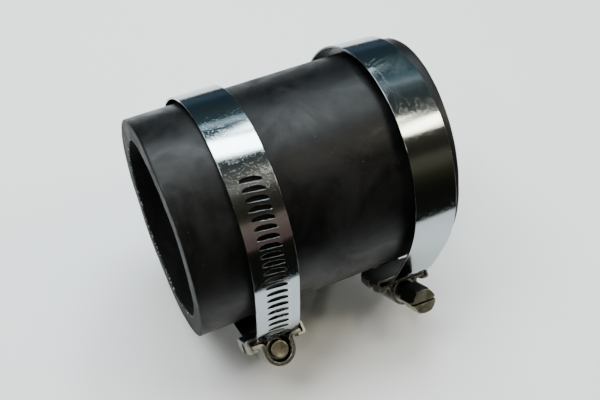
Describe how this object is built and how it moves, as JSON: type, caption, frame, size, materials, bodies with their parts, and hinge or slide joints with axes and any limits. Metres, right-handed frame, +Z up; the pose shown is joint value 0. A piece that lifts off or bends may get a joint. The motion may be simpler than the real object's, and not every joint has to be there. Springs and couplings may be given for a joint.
{
  "type": "pipe coupling",
  "caption": "Straight rubber sleeve coupling for two pipe ends, with a slotted worm-drive hose clamp worn loose round each end.",
  "frame": {"origin": "the middle of the sleeve's bore", "axes": "+X along the bore towards the end that is cut askew, +Z up as it lies with its clamp housings at the front, towards -Y"},
  "size_m": [0.1032, 0.0989, 0.097],
  "materials": {
    "rubber": "dull moulded rubber with dust",
    "zinc_band": "bright zinc-plated strip, finely scratched",
    "housing_steel": "darker zinc-plated pressing",
    "yellow_zinc": "yellow-passivated screw"
  },
  "bodies": {
    "sleeve": {"rubber_sleeve": "rubber"},
    "left_clamp": {"left_band": "zinc_band", "left_housing": "housing_steel", "left_saddle": "housing_steel"},
    "left_worm": {"left_worm_screw": "yellow_zinc"},
    "right_clamp": {"right_band": "zinc_band", "right_housing": "housing_steel", "right_saddle": "housing_steel"},
    "right_worm": {"right_worm_screw": "yellow_zinc"}
  },
  "joints": [
    {"name": "left_clamp_slide", "type": "slide", "parent": "sleeve", "child": "left_clamp", "axis": [1, 0, 0], "range_m": [-0.012, 0.015]},
    {"name": "left_worm_turn", "type": "hinge", "parent": "left_clamp", "child": "left_worm", "pos_m": [-0.02482, -0.04407, -0.03193], "axis": [0.0283, -0.5532, 0.8326], "range_deg": [-1800, 2520], "deforming": ["left_band"]},
    {"name": "right_clamp_slide", "type": "slide", "parent": "sleeve", "child": "right_clamp", "axis": [1, 0, 0], "range_m": [-0.015, 0.006]},
    {"name": "right_worm_turn", "type": "hinge", "parent": "right_clamp", "child": "right_worm", "pos_m": [0.0317, -0.03516, -0.04067], "axis": [-0.0425, 0.7687, -0.6382], "range_deg": [-1800, 2520], "deforming": ["right_band"]}
  ]
}
